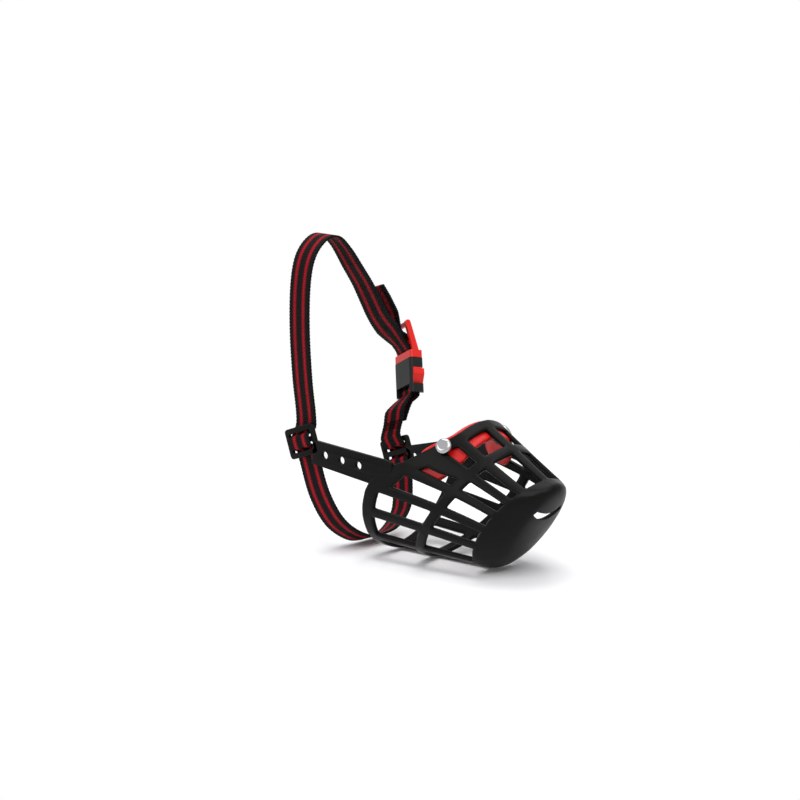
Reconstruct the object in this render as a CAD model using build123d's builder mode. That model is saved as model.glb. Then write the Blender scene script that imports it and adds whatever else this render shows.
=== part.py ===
"""Basket muzzle: moulded basket with side arms, nose pad, webbing loops and side-release buckle (mm)."""
import math
import os

from build123d import *

# ---- basket -------------------------------------------------------------------------------------------
WALL = 3.0  # wall of the moulding
BAR_W = 6.4  # width of a long bar
RIB_W = 7.0  # width of the cross rib
RIM_W = 8.5  # width of the rear rim and arch band
WINDOW_R = 2.2  # corner radius of a window
# each station: middle along Y, half width, half height, middle height, lean of its plane (Y per unit of Z)
STATION_NOSE = (-65.0, 23.0, 29.5, 36.0, -0.72)
STATION_CUP = (-53.0, 40.0, 34.3, 35.6, -0.70)
STATION_RIB = (-11.0, 44.7, 43.8, 45.0, -0.78)
STATION_REAR = (22.0, 47.5, 51.0, 53.5, -0.80)
STATION_END = (64.0, 49.0, 55.0, 58.0, -0.80)
COLUMN_DEG = (90.0, 58.0, 41.0, 23.0, 4.0, -19.0, -48.0, -90.0)  # bars, from the top middle to the bottom middle
SLOT_W = 4.5  # nostril slot, curved like a smile
SLOT_ARC_R = 20.0
SLOT_ARC_DEG = 84.0
NOSTRIL_Z = 43.0  # its lowest point

# ---- side arms ----------------------------------------------------------------------------------------
ARM_X = 47.0  # middle of an arm's thickness
ARM_T = 3.0
ARM_W = 17.5
ARM_ROOT = (40.0, 68.0)  # Y, Z
HOLE_R = 2.8
HOLE_PITCH = 16.3
HOLE_FIRST = 16.5
TAB_L = 28.5  # along its bars
TAB_H = 22.0
TAB_TILT_DEG = 19.5  # its bars sink to the rear by this
TAB_Y = 112.0
TAB_Z = 79.0

# ---- nose pad and rivets ------------------------------------------------------------------------------
PAD_T = 4.0
PAD_GAP = 0.7  # clear of the basket's inside
PAD_PROFILE = ((5.5, 87.0), (-12.5, 98.5), (-16.0, 106.0), (-16.0, 130.0), (-29.0, 130.0), (-28.0, 98.0),
               (-24.0, 85.0), (-17.0, 75.0), (-9.0, 68.0), (0.0, 66.0), (5.0, 71.0), (8.0, 79.0))  # Y, Z from the side
RIVET_SHARE = 0.93  # how far from the cross rib to the rear ring
RIVET_DEG = 47.0
RIVET_R = 5.8
RIVET_H = 3.2
SHANK_R = 1.6
RUNNING = 0.05
WASHER_R = 3.6
WASHER_T = 0.8
WASHER_ROOM = 0.3  # round a washer in its pocket

# ---- buckle -------------------------------------------------------------------------------------------
BUCKLE_FOOT = (55.3, 100.0, 99.1)  # middle of its lower end
BUCKLE_YAW = 20.0  # its broad face is turned this much towards the nose, in degrees
BUCKLE_LEAN_OUT = 10.0  # its upper end leans out from the neck
BUCKLE_LEAN_BACK = 23.0  # and to the rear
FRAME_BEND = 15.5  # the adjuster frame bends in towards the neck
SOCKET_W = 27.0
SOCKET_T = 11.0
SOCKET_L = 26.0
SOCKET_WALL = 1.9
SOCKET_FLOOR = 6.4  # height of the closed end with the webbing bar
WEB_BAR = 2.2
PLUG_FLANGE_H = 5.5
PLUG_FIT = 0.3
FRAME_T = 3.0
FRAME_L = 24.0
RAIL_T = 4.2  # depth of the adjuster frame's two rails
PRONG_ROOT_Y = 7.4
PRONG_L = 18.6
PRONG_GAP = 0.45  # room for a prong's root to turn
WINDOW_LOW = 6.6  # side opening of the socket, from its lower end
WINDOW_HIGH = 19.0

# ---- webbing ------------------------------------------------------------------------------------------
WEB_W = 20.0
WEB_T = 1.6
WEB_GAP = 0.35  # clear of the plastic
SLOT_CLEAR = 0.8
TAB_BAR = 4.0  # height of each bar of the tab
SLOT_H = 5.0
FAR_TAB_Y = 105.0
FAR_TAB_Z = 57.0
HOLE_COUNT = 3


def shell(inset, stations):
    """Solid lofted through the stations, inset from the outside."""
    with BuildPart() as body:
        for station in stations:
            y_mid, half_w, half_h, z_mid, lean = station
            normal = Vector(0, 1, -lean).normalized()
            up = Vector(0, lean, 1).normalized()
            stretch = math.sqrt(1 + lean * lean)
            plane = Plane(origin=(0, y_mid, z_mid), x_dir=(1, 0, 0), z_dir=(normal.X, normal.Y, normal.Z))
            with BuildSketch(plane):
                Ellipse(half_w - inset, (half_h - inset) * stretch)
        loft()
    return body.part


def ring_point(station, degrees, inset=0.0):
    """One point of a ring of the basket."""
    y_mid, half_w, half_h, z_mid, lean = station
    t = math.radians(degrees)
    z = z_mid + (half_h - inset) * math.sin(t)
    return Vector((half_w - inset) * math.cos(t), y_mid + lean * (z - z_mid), z)


def between(station_a, station_b, share):
    """Station part of the way from one station to the next."""
    return tuple(a + (b - a) * share for a, b in zip(station_a, station_b))


def window(front, rear, low_deg, high_deg, side, gap_front, gap_rear):
    """Cutter for one window between two bars and two rings."""
    length = (ring_point(rear, 0.5 * (low_deg + high_deg)) - ring_point(front, 0.5 * (low_deg + high_deg))).length
    corners = []
    for station, degrees, share in (
        (front, low_deg, gap_front / length),
        (front, high_deg, gap_front / length),
        (rear, high_deg, -gap_rear / length),
        (rear, low_deg, -gap_rear / length),
    ):
        other = rear if station is front else front
        placed = between(station, other, abs(share))
        a = ring_point(placed, low_deg, WALL / 2)
        b = ring_point(placed, high_deg, WALL / 2)
        chord = b - a
        along = chord.normalized()
        corners.append(a + along * (BAR_W / 2) if degrees == low_deg else b - along * (BAR_W / 2))
    corners = [Vector(p.X * side, p.Y, p.Z) for p in corners]
    middle = (corners[0] + corners[1] + corners[2] + corners[3]) * 0.25
    x_dir = ((corners[1] + corners[2]) - (corners[0] + corners[3])).normalized()
    run = ((corners[2] + corners[3]) - (corners[0] + corners[1])).normalized()
    normal = x_dir.cross(run).normalized()
    plane = Plane(origin=middle, x_dir=x_dir, z_dir=normal)
    flat = []
    for p in corners:
        d = p - middle
        flat.append((d.dot(plane.x_dir), d.dot(plane.y_dir)))
    with BuildPart() as cutter:
        with BuildSketch(plane) as face:
            Polygon(*flat, align=None)
            fillet(face.vertices(), WINDOW_R)
        extrude(amount=9.0, both=True)
    return cutter.part


# ---- basket: shell, rear edge, windows ----------------------------------------------------------------
STATIONS = (STATION_NOSE, STATION_CUP, STATION_RIB, STATION_REAR, STATION_END)
# rear edge seen from the side: Y, Z from the bottom to the top of the arch
REAR_EDGE = ((62.0, -20.0), (62.0, 2.0), (61.0, 16.0), (56.0, 38.0), (50.0, 58.0), (36.0, 72.0), (24.0, 74.0),
             (4.0, 86.0), (-14.0, 97.0), (-18.0, 106.0), (-18.0, 150.0))

outer = shell(0.0, STATIONS)
inner_stations = [(s[0] + (WALL * 1.3 if n == 0 else 0.0), s[1], s[2], s[3], s[4]) for n, s in enumerate(STATIONS)]
inner = shell(WALL, inner_stations)

with BuildPart() as behind:
    with BuildSketch(Plane.YZ):
        with BuildLine():
            Polyline(*REAR_EDGE, (200.0, 150.0), (200.0, -20.0), close=True)
        make_face()
    extrude(amount=100.0, both=True)

REAR_COLUMN_Y = (-18.0, -14.0, 3.0, 24.0, 42.0, 53.0, 59.0, 62.0)


def rear_station(low, high):
    """Station whose ring meets the rear edge between two bars."""
    mean = 0.5 * (REAR_COLUMN_Y[low] + REAR_COLUMN_Y[high])
    mid_deg = 0.5 * (COLUMN_DEG[low] + COLUMN_DEG[high])
    best = STATION_REAR
    for k in range(-40, 60):
        trial = between(STATION_REAR, STATION_END, k / 40.0) if k >= 0 else between(STATION_RIB, STATION_REAR, 1 + k / 40.0)
        if ring_point(trial, mid_deg).Y <= mean:
            best = trial
    return best


def tab_frame(side):
    """Plane of a side arm's tab: X along its bars to the front, Y up between them, Z outwards."""
    tab_y, tab_z = (TAB_Y, TAB_Z) if side < 0 else (FAR_TAB_Y, FAR_TAB_Z)
    tilt = math.radians(TAB_TILT_DEG)
    along = (0.0, math.cos(tilt) * side, -math.sin(tilt) * side)
    return Plane(origin=(side * ARM_X, tab_y, tab_z), x_dir=along, z_dir=(side, 0, 0))


def arm_solid(side):
    """One side arm with its holes and its tab with two slots."""
    tab_y, tab_z = (TAB_Y, TAB_Z) if side < 0 else (FAR_TAB_Y, FAR_TAB_Z)
    run = Vector(0, tab_y - ARM_ROOT[0], tab_z - 5.0 - ARM_ROOT[1])
    length = run.length
    angle = math.degrees(math.atan2(run.Z, run.Y))
    slot_y = TAB_BAR / 2 + SLOT_H / 2
    with BuildPart() as arm:
        with BuildSketch(Plane.YZ.offset(side * ARM_X)):
            with Locations(Location((ARM_ROOT[0], ARM_ROOT[1]), angle)):
                with Locations((length / 2 - 8.5, 0)):
                    Rectangle(length - 5.0, ARM_W)
                for k in range(HOLE_COUNT):
                    with Locations((HOLE_FIRST + k * HOLE_PITCH, 0)):
                        Circle(HOLE_R, mode=Mode.SUBTRACT)
        extrude(amount=ARM_T / 2, both=True)
        with BuildSketch(tab_frame(side)):
            RectangleRounded(TAB_L, TAB_H, 3.0)
        extrude(amount=ARM_T / 2, both=True)
        with BuildSketch(tab_frame(side)):
            with Locations((0, slot_y), (0, -slot_y)):
                Rectangle(WEB_W + 2 * SLOT_CLEAR, SLOT_H)
        extrude(amount=ARM_T, both=True, mode=Mode.SUBTRACT)
    return arm.part


with BuildPart() as basket:
    add(outer)
    add(inner, mode=Mode.SUBTRACT)
    add(behind.part, mode=Mode.SUBTRACT)
    for side in (-1, 1):
        for low in range(7):
            high_deg, low_deg = COLUMN_DEG[low], COLUMN_DEG[low + 1]
            add(window(STATION_CUP, STATION_RIB, low_deg, high_deg, side, 4.0, RIB_W / 2), mode=Mode.SUBTRACT)
            rear = rear_station(low, low + 1)
            add(window(STATION_RIB, rear, low_deg, high_deg, side, RIB_W / 2, RIM_W), mode=Mode.SUBTRACT)
    for side in (-1, 1):
        add(arm_solid(side))


def ribbon_sides(points, thickness):
    """Both sides of a flat strap whose middle runs through the points."""
    left = []
    right = []
    for n, (x, z) in enumerate(points):
        before = points[max(n - 1, 0)]
        after = points[min(n + 1, len(points) - 1)]
        steps = []
        for a, b in ((before, (x, z)), ((x, z), after)):
            length = math.hypot(b[0] - a[0], b[1] - a[1])
            if length > 1e-9:
                steps.append(((b[0] - a[0]) / length, (b[1] - a[1]) / length))
        tx = sum(t[0] for t in steps)
        tz = sum(t[1] for t in steps)
        norm = math.hypot(tx, tz)
        tx, tz = tx / norm, tz / norm
        reach = thickness / 2 / (tx * steps[0][0] + tz * steps[0][1])
        left.append((x - tz * reach, z + tx * reach))
        right.append((x + tz * reach, z - tx * reach))
    return left, right


def smooth(points, steps=4):
    """Points of a smooth line through the given ones."""
    line = []
    for n in range(len(points) - 1):
        p0 = points[max(n - 1, 0)]
        p1, p2 = points[n], points[n + 1]
        p3 = points[min(n + 2, len(points) - 1)]
        for k in range(steps):
            t = k / steps
            line.append(tuple(
                0.5 * (2 * b + (c - a) * t + (2 * a - 5 * b + 4 * c - d) * t**2 + (3 * b - a - 3 * c + d) * t**3)
                for a, b, c, d in zip(p0, p1, p2, p3)
            ))
    return line + [points[-1]]


def ribbon(plane, points, thickness=WEB_T, width=WEB_W):
    """Flat strap standing across the plane along the points."""
    left, right = ribbon_sides(points, thickness)
    with BuildPart() as strap:
        with BuildSketch(plane):
            with BuildLine():
                Polyline(*(left + right[::-1]), close=True)
            make_face()
        extrude(amount=width / 2, both=True)
    return strap.part


def band(stations, thickness=WEB_T, width=WEB_W):
    """Flat strap through stations, each a middle point with the direction of the strap's width there."""
    with BuildPart() as strap:
        for n, (point, across) in enumerate(stations):
            steps = []
            if n:
                steps.append((point - stations[n - 1][0]).normalized())
            if n < len(stations) - 1:
                steps.append((stations[n + 1][0] - point).normalized())
            along = sum(steps, Vector(0, 0, 0)).normalized()
            side = (across - along * across.dot(along)).normalized()
            with BuildSketch(Plane(origin=point, x_dir=(side.X, side.Y, side.Z), z_dir=(along.X, along.Y, along.Z))):
                Rectangle(width, thickness / along.dot(steps[0]))
        loft(ruled=True)
    return strap.part


def save(part, label):
    """Write one node."""
    part.label = label
    export_step(part, "parts/" + label + ".step")
    print(label, len(part.solids()), round(part.volume, 1), part.bounding_box())


def skin_frame(side):
    """Plane on the outside of the basket at a rivet, Z outwards."""
    station = between(STATION_RIB, STATION_REAR, RIVET_SHARE)
    step = between(STATION_RIB, STATION_REAR, RIVET_SHARE + 0.02)
    p = ring_point(station, RIVET_DEG)
    around = ring_point(station, RIVET_DEG + 1.0) - p
    back = ring_point(step, RIVET_DEG) - p
    normal = around.cross(back).normalized()
    if normal.Z < 0:
        normal = normal * -1
    return Plane(origin=(side * p.X, p.Y, p.Z), z_dir=(side * normal.X, normal.Y, normal.Z))


# ---- rivets, pad --------------------------------------------------------------------------------------
os.makedirs("parts", exist_ok=True)
STACK = WALL + PAD_GAP + PAD_T  # what a rivet holds
SEAT = 0.35  # cap and washer clear of the curved skins

with BuildPart() as nose_pad:
    add(shell(WALL + PAD_GAP, STATIONS))
    add(shell(WALL + PAD_GAP + PAD_T, STATIONS), mode=Mode.SUBTRACT)
    with BuildSketch(Plane.YZ):
        Polygon(*PAD_PROFILE, align=None)
    extrude(amount=60.0, both=True, mode=Mode.INTERSECT)
    for side in (-1, 1):
        with BuildSketch(skin_frame(side)):
            Circle(SHANK_R + RUNNING)
        extrude(amount=20.0, both=True, mode=Mode.SUBTRACT)
        with BuildSketch(skin_frame(side).offset(-STACK - SEAT + WASHER_ROOM)):
            Circle(WASHER_R + WASHER_ROOM)
        extrude(amount=-20.0, mode=Mode.SUBTRACT)

slot_line = CenterArc((0, NOSTRIL_Z + SLOT_ARC_R), SLOT_ARC_R, 270 - SLOT_ARC_DEG / 2, SLOT_ARC_DEG)
with BuildPart() as slot:
    with BuildSketch(Plane.XZ.offset(45.0)):
        SlotArc(slot_line, SLOT_W)
    extrude(amount=150.0)

for side, name in ((-1, "near"), (1, "far")):
    with BuildPart(skin_frame(side)) as rivet:
        with Locations((0, 0, SEAT)):
            Cylinder(RIVET_R, RIVET_H, align=(Align.CENTER, Align.CENTER, Align.MIN))
        fillet(rivet.edges().filter_by(GeomType.CIRCLE).sort_by(lambda e: (e.center() - skin_frame(side).origin).length)[-1], RIVET_H * 0.8)
        with Locations((0, 0, -STACK - SEAT - WASHER_T)):
            Cylinder(SHANK_R, STACK + 2 * SEAT + WASHER_T, align=(Align.CENTER, Align.CENTER, Align.MIN))
    save(rivet.part, "rivet_" + name)
    with BuildPart(skin_frame(side)) as washer:
        with Locations((0, 0, -STACK - SEAT - WASHER_T)):
            Cylinder(WASHER_R, WASHER_T, align=(Align.CENTER, Align.CENTER, Align.MIN))
            Cylinder(SHANK_R + 0.02, WASHER_T, align=(Align.CENTER, Align.CENTER, Align.MIN), mode=Mode.SUBTRACT)
    save(washer.part, "rivet_washer_" + name)

with BuildPart() as basket_cut:
    add(basket.part)
    add(slot.part, mode=Mode.SUBTRACT)
    for side in (-1, 1):
        with BuildSketch(skin_frame(side)):
            Circle(SHANK_R + RUNNING)
        extrude(amount=6.0, both=True, mode=Mode.SUBTRACT)
save(basket_cut.part, "basket")
save(nose_pad.part, "nose_pad")

# ---- chin strap, threaded through both tabs -----------------------------------------------------------
tilt = math.radians(TAB_TILT_DEG)
UP = Vector(0, math.sin(tilt), math.cos(tilt))
CHIN_PLANE = Plane(origin=(0, TAB_Y, TAB_Z), x_dir=(1, 0, 0), z_dir=(0, -UP.Z, UP.Y))
WEB_IN = ARM_X - ARM_T / 2 - WEB_GAP - WEB_T / 2
WEB_OUT = ARM_X + ARM_T / 2 + WEB_GAP + WEB_T / 2
SLOT_S = TAB_BAR / 2 + SLOT_H / 2  # from the tab's middle to a slot's middle
FAR_S = -math.hypot(TAB_Y - FAR_TAB_Y, TAB_Z - FAR_TAB_Z)
TAB_TOP_S = TAB_H / 2
chin = smooth([(-WEB_IN, -SLOT_S), (-WEB_IN, -14.0), (-WEB_IN + 1, -40.0), (-35.0, -62.0), (-18.0, -75.6),
               (0.0, -78.3), (18.0, -75.6), (35.0, -64.0), (WEB_IN - 1, -46.0), (WEB_IN, FAR_S - 14.0),
               (WEB_IN, FAR_S - SLOT_S)])
WEAVE_END = SLOT_S + WEB_T / 2 + 0.4  # the weave stops behind a tab's top bar
chin_points = [(-WEB_IN, WEAVE_END), (-WEB_IN, SLOT_S), (-WEB_OUT, SLOT_S), (-WEB_OUT, -SLOT_S)] + chin + [
    (WEB_OUT, FAR_S - SLOT_S), (WEB_OUT, FAR_S + SLOT_S), (WEB_IN, FAR_S + SLOT_S), (WEB_IN, FAR_S + WEAVE_END)]
save(ribbon(CHIN_PLANE, chin_points), "chin_strap")

# ---- neck loop ----------------------------------------------------------------------------------------
skew = math.atan2(TAB_Y - FAR_TAB_Y, 2 * ARM_X)
LOOP_X = Vector(math.cos(skew), -math.sin(skew), 0)
LOOP_PLANE = Plane(origin=(0, 0.5 * (TAB_Y + FAR_TAB_Y), 0), x_dir=(LOOP_X.X, LOOP_X.Y, 0),
                   z_dir=(LOOP_X.Y, -LOOP_X.X, 0))
LOOP_ACROSS = Vector(-LOOP_X.Y, LOOP_X.X, 0)
yaw = math.radians(BUCKLE_YAW)
FACE_OUT = Vector(math.cos(yaw), -math.sin(yaw), 0)
FACE_ACROSS = Vector(math.sin(yaw), math.cos(yaw), 0)
AXIS = (Vector(0, 0, 1) + FACE_OUT * math.tan(math.radians(BUCKLE_LEAN_OUT))
        + FACE_ACROSS * math.tan(math.radians(BUCKLE_LEAN_BACK))).normalized()
OUT = (FACE_OUT - AXIS * FACE_OUT.dot(AXIS)).normalized()
ACROSS = AXIS.cross(OUT)
FOOT = Vector(*BUCKLE_FOOT)
bend = math.radians(FRAME_BEND)
FRAME_AXIS = AXIS * math.cos(bend) - OUT * math.sin(bend)
FRAME_OUT = OUT * math.cos(bend) + AXIS * math.sin(bend)
FRAME_FOOT = FOOT + AXIS * (SOCKET_L + PLUG_FIT + PLUG_FLANGE_H - 0.6)
TAB_ACROSS = Vector(0, UP.Z, -UP.Y)


def on_buckle(out, up):
    """Point beside the socket's middle, outward and up along it."""
    return FOOT + OUT * out + AXIS * up


def on_frame(out, up):
    """Point beside the adjuster frame's middle, outward and up along it."""
    return FRAME_FOOT + FRAME_OUT * out + FRAME_AXIS * up


def strap_line(points, steps=4):
    """Smooth stations through the given ones, turning the width direction evenly."""
    line = smooth([(p.X, p.Y, p.Z, w.X, w.Y, w.Z) for p, w in points], steps)
    return [(Vector(*row[:3]), Vector(*row[3:]).normalized()) for row in line]


def above_tab(top_y, top_z):
    """Cutter that leaves only what lies above a tab's upper edge."""
    origin = Vector(0, top_y, top_z) + UP * (TAB_TOP_S + 0.4)
    with BuildPart(Plane(origin=origin, x_dir=(1, 0, 0), z_dir=(0, -UP.Y, -UP.Z))) as cutter:
        Box(300, 100, 60, align=(Align.CENTER, Align.CENTER, Align.MIN))
    return cutter.part


SIDE_OUT = FRAME_T / 2 + WEB_GAP + WEB_T / 2
LOW_SLOT = 3.9
BACK_DOWN = Vector(-0.1, 0.93, -0.36).normalized()
over = strap_line(
    [(LOOP_PLANE.from_local_coords((x, z, 0)), LOOP_ACROSS) for x, z in (
        (-WEB_IN + 1.0, TAB_Z + 5.0), (-WEB_IN + 0.6, TAB_Z + 22.0), (-46.8, 125.0), (-49.0, 160.0), (-48.0, 192.0),
        (-43.0, 212.0), (-32.0, 223.5), (-20.0, 225.0), (-9.0, 216.0))]
    + [(Vector(1.0, 106.8, 200.5), Vector(0, 1, -0.05)), (Vector(12.5, 107.6, 186.4), Vector(0, 1, -0.12)),
       (Vector(22.0, 108.8, 173.1), Vector(0, 1, -0.22)), (Vector(31.6, 110.3, 160.3), Vector(0, 1, -0.32)),
       (Vector(43.9, 112.4, 148.9), BACK_DOWN), (on_frame(-5.6, 11.6), ACROSS),
       (on_frame(-SIDE_OUT - 0.5, LOW_SLOT + 1.6), ACROSS)]) + [(on_frame(-SIDE_OUT, LOW_SLOT), ACROSS)]
tail_line = [(on_frame(SIDE_OUT, LOW_SLOT), ACROSS)] + strap_line(
    [(on_frame(SIDE_OUT, 10.4), ACROSS), (on_frame(-1.4, 13.2), ACROSS), (on_frame(-5.6, 18.2), ACROSS),
     (Vector(46.2, 114.1, 158.8), BACK_DOWN), (Vector(34.5, 111.0, 172.0), Vector(0, 1, -0.3)),
     (Vector(25.5, 109.0, 182.5), Vector(0, 1, -0.3))], 3)
with BuildPart() as neck_strap:
    add(band(over + tail_line))
    add(above_tab(TAB_Y, TAB_Z), mode=Mode.SUBTRACT)
save(neck_strap.part, "neck_strap")

BAR_MID = 0.5 * (WEB_BAR + SOCKET_FLOOR)
BAR_SIDE = WEB_T / 2 + WEB_GAP + 1.1
riser = strap_line(
    [(Vector(WEB_IN - 1.0, 0, 0) + Vector(0, FAR_TAB_Y, FAR_TAB_Z) + UP * (TAB_TOP_S + 0.6), TAB_ACROSS),
     (Vector(43.0, 108.6, 71.5), TAB_ACROSS),
     (Vector(41.3, 104.0, 81.0), TAB_ACROSS), (Vector(41.5, 102.5, 89.5), TAB_ACROSS),
     (Vector(46.0, 101.3, 95.0), (TAB_ACROSS + ACROSS).normalized()), (on_buckle(-BAR_SIDE, 0.4), ACROSS)])
bar_pass = [(on_buckle(-BAR_SIDE, 0.0), ACROSS), (on_buckle(-BAR_SIDE, BAR_MID), ACROSS)]
fold = [(on_buckle(BAR_SIDE, BAR_MID), ACROSS), (on_buckle(BAR_SIDE, -1.4), ACROSS)] + strap_line(
    [(on_buckle(-0.8, -4.6), ACROSS), (Vector(50.3, 101.5, 92.6), (TAB_ACROSS + ACROSS).normalized()),
     (Vector(46.3, 103.0, 86.0), TAB_ACROSS), (Vector(44.9, 104.3, 79.5), TAB_ACROSS)])
with BuildPart(Plane(origin=on_buckle(0, BAR_MID), x_dir=(OUT.X, OUT.Y, OUT.Z), z_dir=(AXIS.X, AXIS.Y, AXIS.Z))) as turn:
    Box(2 * BAR_SIDE + WEB_T, WEB_W - 0.4, WEB_T)
with BuildPart() as far_strap:
    add(band(riser))
    add(band(bar_pass))
    add(turn.part)
    add(band(fold))
save(far_strap.part, "buckle_strap")

# ---- buckle -------------------------------------------------------------------------------------------
foot = FOOT
axis = AXIS
outward = OUT
BUCKLE = Plane(origin=FOOT, x_dir=(OUT.X, OUT.Y, OUT.Z), z_dir=(AXIS.X, AXIS.Y, AXIS.Z))
FRAME = Plane(origin=FRAME_FOOT, x_dir=(FRAME_OUT.X, FRAME_OUT.Y, FRAME_OUT.Z),
              z_dir=(FRAME_AXIS.X, FRAME_AXIS.Y, FRAME_AXIS.Z))
UPWARD = (Align.CENTER, Align.CENTER, Align.MIN)
CAVITY_W = SOCKET_W - 2 * 2.6
CAVITY_T = SOCKET_T - 2 * SOCKET_WALL
WINDOW_L = WINDOW_HIGH - WINDOW_LOW
RAIL_W = SOCKET_W / 2 - WEB_W / 2 - SLOT_CLEAR
SKIN_NOTCH_Y = 6.6  # how near the middle the outer skin is cut away beside a prong's pad

with BuildPart(BUCKLE) as socket:
    Box(SOCKET_T, SOCKET_W, SOCKET_L, align=UPWARD)
    fillet(socket.edges().filter_by(lambda e: abs(e.tangent_at(0.5).dot(axis)) > 0.99), 2.4)
    with Locations((0, 0, SOCKET_FLOOR + 1.6)):
        Box(CAVITY_T, CAVITY_W, SOCKET_L, align=UPWARD, mode=Mode.SUBTRACT)
    with Locations((0, 0, WINDOW_LOW)):
        Box(CAVITY_T, 2 * SOCKET_W, WINDOW_L, align=UPWARD, mode=Mode.SUBTRACT)
    for side in (-1, 1):
        with Locations((SOCKET_T / 2, side * (SKIN_NOTCH_Y + 10), WINDOW_LOW)):
            Box(SOCKET_T, 20, WINDOW_L, align=UPWARD, mode=Mode.SUBTRACT)
    with Locations((0, 0, WEB_BAR)):
        Box(3 * SOCKET_T, WEB_W + 2 * SLOT_CLEAR, SOCKET_FLOOR - WEB_BAR, align=UPWARD, mode=Mode.SUBTRACT)
    for out in (-1, 1):
        with Locations((out * (SOCKET_T / 2 + 1.1), 0, -1)):
            Box(SOCKET_T, WEB_W + 2 * SLOT_CLEAR, SOCKET_FLOOR + 1, align=UPWARD, mode=Mode.SUBTRACT)
save(socket.part, "buckle_socket")

with BuildPart(BUCKLE) as plug_base:
    with Locations((0, 0, SOCKET_L + PLUG_FIT)):
        Box(SOCKET_T - 1.0, SOCKET_W, PLUG_FLANGE_H, align=UPWARD)
    fillet(plug_base.edges().filter_by(lambda e: abs(e.tangent_at(0.5).dot(axis)) > 0.99), 1.8)
    with Locations((0, 0, WINDOW_LOW + 3.0)):
        Box(CAVITY_T - 2 * PLUG_FIT, 5.0, SOCKET_L + PLUG_FIT - WINDOW_LOW - 3.0, align=UPWARD)
with BuildPart(FRAME) as frame:
    for side in (-1, 1):
        with Locations((0, side * (SOCKET_W - RAIL_W) / 2, 0)):
            Box(RAIL_T, RAIL_W, FRAME_L, align=UPWARD)
    fillet(frame.edges().filter_by(lambda e: abs(e.tangent_at(0.5).dot(ACROSS)) > 0.99
                                  and (e.center() - FRAME_FOOT).dot(FRAME_AXIS) > FRAME_L - 1), 2.0)
    for low in (6.2, FRAME_L - 4.2):
        with Locations((0, 0, low)):
            Box(FRAME_T, SOCKET_W - 1.0, 3.2, align=UPWARD)
with BuildPart() as plug:
    add(plug_base.part)
    add(frame.part)
save(plug.part, "buckle_plug")

for back, name in ((-1, "front"), (1, "back")):
    with BuildPart() as prong:
        inner_y = PRONG_ROOT_Y
        top = SOCKET_L + PLUG_FIT - PRONG_GAP
        tip = top - PRONG_L
        wall = CAVITY_W / 2 - PLUG_FIT
        side_plane = Plane(origin=foot, x_dir=(ACROSS.X * back, ACROSS.Y * back, ACROSS.Z * back),
                           z_dir=(outward.X * back, outward.Y * back, outward.Z * back))
        with BuildSketch(side_plane):
            with BuildLine():
                Polyline((inner_y, top), (wall, top), (wall, WINDOW_HIGH), (SOCKET_W / 2, WINDOW_HIGH - PLUG_FIT),
                         (SOCKET_W / 2 + 0.2, WINDOW_HIGH - 5.0), (wall, tip), (inner_y + 1.6, tip),
                         (inner_y, tip + 3.0), close=True)
            make_face()
        extrude(amount=(CAVITY_T - 2 * PLUG_FIT) / 2, both=True)
        with BuildSketch(side_plane):
            with BuildLine():
                Polyline((wall, WINDOW_HIGH - 1.0), (SOCKET_W / 2, WINDOW_HIGH - 1.0), (SOCKET_W / 2 + 0.2, WINDOW_HIGH - 5.0),
                         (wall, tip), close=True)
            make_face()
        extrude(amount=back * (SOCKET_T / 2 + 0.2))
    save(prong.part, "prong_" + name)
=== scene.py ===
"""Looks of a moulded basket muzzle: basket, nose pad, rivets, webbing and side-release buckle (metres)."""
import logging
import math
from dataclasses import dataclass
from enum import Enum
from typing import Sequence

import bmesh
import bpy
from mathutils import Matrix, Vector


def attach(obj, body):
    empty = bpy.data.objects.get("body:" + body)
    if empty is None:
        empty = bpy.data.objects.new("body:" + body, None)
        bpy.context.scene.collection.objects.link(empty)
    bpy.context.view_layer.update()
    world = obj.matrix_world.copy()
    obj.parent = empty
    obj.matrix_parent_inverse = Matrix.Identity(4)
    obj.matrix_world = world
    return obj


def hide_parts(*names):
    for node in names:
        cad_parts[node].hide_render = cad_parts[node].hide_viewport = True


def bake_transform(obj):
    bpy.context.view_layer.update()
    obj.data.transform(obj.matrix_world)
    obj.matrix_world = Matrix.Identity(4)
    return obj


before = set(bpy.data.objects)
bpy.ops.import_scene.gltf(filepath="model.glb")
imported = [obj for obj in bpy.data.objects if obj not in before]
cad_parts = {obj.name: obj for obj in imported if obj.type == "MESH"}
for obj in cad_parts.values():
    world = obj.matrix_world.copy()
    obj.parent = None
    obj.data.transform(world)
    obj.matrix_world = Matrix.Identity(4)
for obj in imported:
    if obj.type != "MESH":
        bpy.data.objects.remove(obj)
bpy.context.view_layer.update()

LOG = logging.getLogger("muzzle")
MM = 0.001


class Side(Enum):
    """Side of the muzzle that a piece sits on, as the sign of X."""

    NEAR = -1
    FAR = 1


def mm(*values: float) -> Vector:
    """Vector in metres from values in millimetres."""
    return Vector([v * MM for v in values])


# ---- materials ----------------------------------------------------------------------------------------
def linear(hex_colour: str) -> tuple[float, float, float, float]:
    """Linear colour of an sRGB hex value.

    Args:
        hex_colour: six hex digits, with or without a leading #.

    Returns:
        Red, green, blue and alpha, ready for a socket.
    """
    digits = hex_colour.lstrip("#")
    channels = [int(digits[i:i + 2], 16) / 255 for i in (0, 2, 4)]
    straight = [c / 12.92 if c <= 0.04045 else ((c + 0.055) / 1.055) ** 2.4 for c in channels]
    return (straight[0], straight[1], straight[2], 1.0)


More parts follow.
